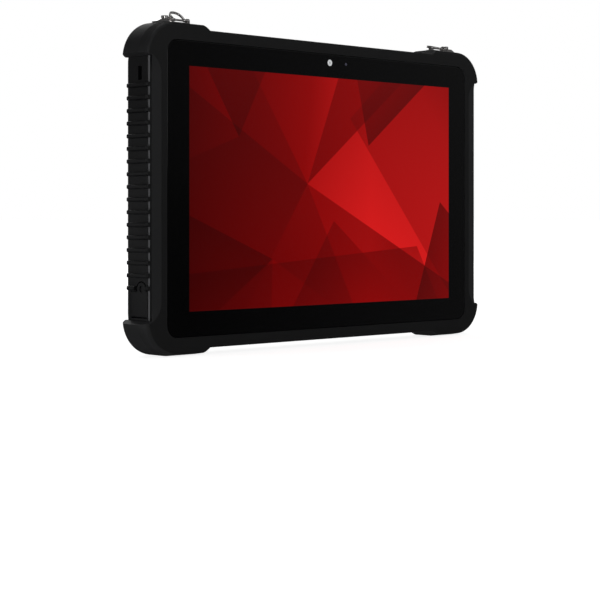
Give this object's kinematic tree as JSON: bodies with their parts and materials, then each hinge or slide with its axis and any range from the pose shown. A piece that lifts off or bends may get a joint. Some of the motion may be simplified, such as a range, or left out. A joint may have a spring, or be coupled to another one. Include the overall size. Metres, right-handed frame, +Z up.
{
  "type": "rugged field tablet",
  "caption": "Rugged landscape field tablet with rubber corner bumpers, ribbed side grip, strap rings, socket doors, side keys and a lift-off battery.",
  "frame": {"origin": "under the middle of the body, on the surface that the lower bumpers stand on", "axes": "+X right along the long side seen from the screen, +Y from the screen to the back, +Z up"},
  "size_m": [0.278, 0.022, 0.1913],
  "materials": {
    "frame_plastic": "fine moulded texture, satin",
    "bumper_rubber": "soft touch",
    "grip_rubber": "matt moulded rubber",
    "seal_rubber": "soft seal",
    "screen_glass": "polished glass over a dark printed border and a lit picture",
    "lens_glass": "coated lens window",
    "flash_plastic": "frosted",
    "display_module": "satin panel back",
    "alloy": "as machined",
    "tin_plate": "drawn sheet",
    "circuit_board": "solder mask",
    "ribbon": "polyimide film",
    "ceramic": "sintered",
    "black_plastic": "satin",
    "battery_cell": "foil",
    "gold_contact": "plated",
    "black_ring": "anodised",
    "dark_screw": "zinc black",
    "bright_steel": "polished"
  },
  "bodies": {
    "tablet": {"battery_contacts": "gold_contact", "board_screws": "dark_screw", "bracket_screws": "bright_steel", "bumper_bottom_left": "bumper_rubber", "bumper_bottom_right": "bumper_rubber", "bumper_top_left": "bumper_rubber", "bumper_top_right": "bumper_rubber", "chassis": "alloy", "cover_glass": "screen_glass", "display_flex": "ribbon", "display_panel": "display_module", "dock_pads": "gold_contact", "dock_plate": "black_plastic", "door_left_pin": "bright_steel", "door_right_pin": "bright_steel", "flash_lens": "flash_plastic", "front_camera": "black_plastic", "front_camera_window": "lens_glass", "front_frame": "frame_plastic", "glass_tape": "seal_rubber", "gnss_antenna": "ceramic", "grip_strip_left": "grip_rubber", "hdmi_socket": "tin_plate", "heat_spreader": "alloy", "housing_screws": "dark_screw", "housing_seal": "seal_rubber", "key_board": "circuit_board", "key_switches": "black_plastic", "light_sensor": "black_plastic", "light_sensor_window": "lens_glass", "lock_plate": "tin_plate", "main_board": "circuit_board", "rear_camera": "black_plastic", "rear_camera_ring": "black_ring", "rear_camera_window": "lens_glass", "rear_cover": "frame_plastic", "shield_cans": "tin_plate", "side_strip_right": "grip_rubber", "speaker_left": "black_plastic", "speaker_right": "black_plastic", "strap_bracket_left": "bright_steel", "strap_bracket_right": "bright_steel", "strap_inserts": "gold_contact", "usb_a_socket": "tin_plate", "usb_c_socket": "tin_plate"},
    "door_left_body": {"door_left": "grip_rubber", "door_left_seal": "seal_rubber"},
    "door_right_body": {"door_right": "grip_rubber", "door_right_seal": "seal_rubber"},
    "ring_left_body": {"strap_ring_left": "bright_steel"},
    "ring_right_body": {"strap_ring_right": "bright_steel"},
    "battery_body": {"battery_case": "black_plastic", "battery_cells": "battery_cell", "battery_seal": "seal_rubber"},
    "latch_left_body": {"battery_latch_left": "black_plastic"},
    "latch_right_body": {"battery_latch_right": "black_plastic"},
    "power_key_body": {"power_key": "black_plastic"},
    "volume_up_key_body": {"volume_up_key": "black_plastic"},
    "volume_down_key_body": {"volume_down_key": "black_plastic"},
    "function_key_body": {"function_key": "black_plastic"}
  },
  "joints": [
    {"name": "door_left_hinge", "type": "hinge", "parent": "tablet", "child": "door_left_body", "pos_m": [-0.1352, -0.0012, 0.0225], "axis": [0, -1, 0], "range_deg": [0, 90]},
    {"name": "door_right_hinge", "type": "hinge", "parent": "tablet", "child": "door_right_body", "pos_m": [0.1352, 0.0062, 0.0521], "axis": [0, 0, 1], "range_deg": [0, 90]},
    {"name": "ring_left_hinge", "type": "hinge", "parent": "tablet", "child": "ring_left_body", "pos_m": [-0.108, -0.0013, 0.1859], "axis": [1, 0, 0], "range_deg": [-39, 98]},
    {"name": "ring_right_hinge", "type": "hinge", "parent": "tablet", "child": "ring_right_body", "pos_m": [0.108, -0.0013, 0.1859], "axis": [1, 0, 0], "range_deg": [-11, 126]},
    {"name": "battery_pull", "type": "slide", "parent": "tablet", "child": "battery_body", "axis": [0, 1, 0], "range_m": [0, 0.02]},
    {"name": "latch_left_slide", "type": "slide", "parent": "tablet", "child": "latch_left_body", "axis": [-1, 0, 0], "range_m": [0, 0.005]},
    {"name": "latch_right_slide", "type": "slide", "parent": "tablet", "child": "latch_right_body", "axis": [1, 0, 0], "range_m": [0, 0.005]},
    {"name": "power_key_press", "type": "slide", "parent": "tablet", "child": "power_key_body", "axis": [-1, 0, 0], "range_m": [0, 0.00045], "stiffness_N_per_m": 3000},
    {"name": "volume_up_key_press", "type": "slide", "parent": "tablet", "child": "volume_up_key_body", "axis": [-1, 0, 0], "range_m": [0, 0.00045], "stiffness_N_per_m": 3000},
    {"name": "volume_down_key_press", "type": "slide", "parent": "tablet", "child": "volume_down_key_body", "axis": [-1, 0, 0], "range_m": [0, 0.00045], "stiffness_N_per_m": 3000},
    {"name": "function_key_press", "type": "slide", "parent": "tablet", "child": "function_key_body", "axis": [-1, 0, 0], "range_m": [0, 0.00045], "stiffness_N_per_m": 3000}
  ]
}
